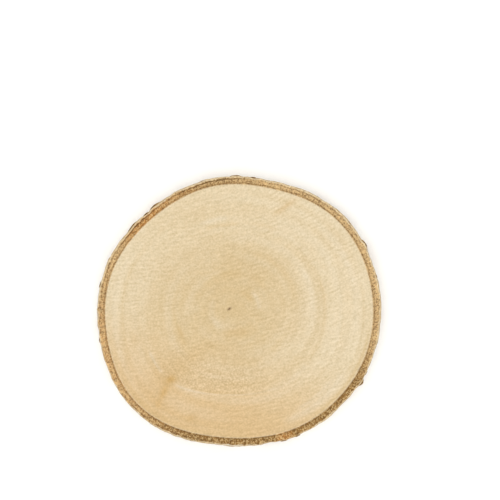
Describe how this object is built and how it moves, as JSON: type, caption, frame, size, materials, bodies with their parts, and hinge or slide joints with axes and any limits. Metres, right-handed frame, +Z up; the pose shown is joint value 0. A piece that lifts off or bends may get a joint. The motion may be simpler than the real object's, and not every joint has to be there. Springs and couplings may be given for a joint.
{
  "type": "birch wood slice",
  "caption": "Thin, slightly oval cross-cut of a birch stem, sawn flat on both faces, with pale papery bark left on its edge.",
  "frame": {"origin": "middle of the underside's bounding box, on the plane that the slice rests on", "axes": "+Z up through the thickness, from the underside to the top face; +X along the longest extent; +Y across it, towards the far side"},
  "size_m": [0.12, 0.1142, 0.01],
  "materials": {
    "sawn_wood": "sawn end grain, fine-sanded, unsealed",
    "birch_bark": "papery white outer bark with brown lenticels, tan-brown inner bark where it is sawn"
  },
  "bodies": {
    "root": {"birch_slice": "sawn_wood"}
  },
  "joints": []
}
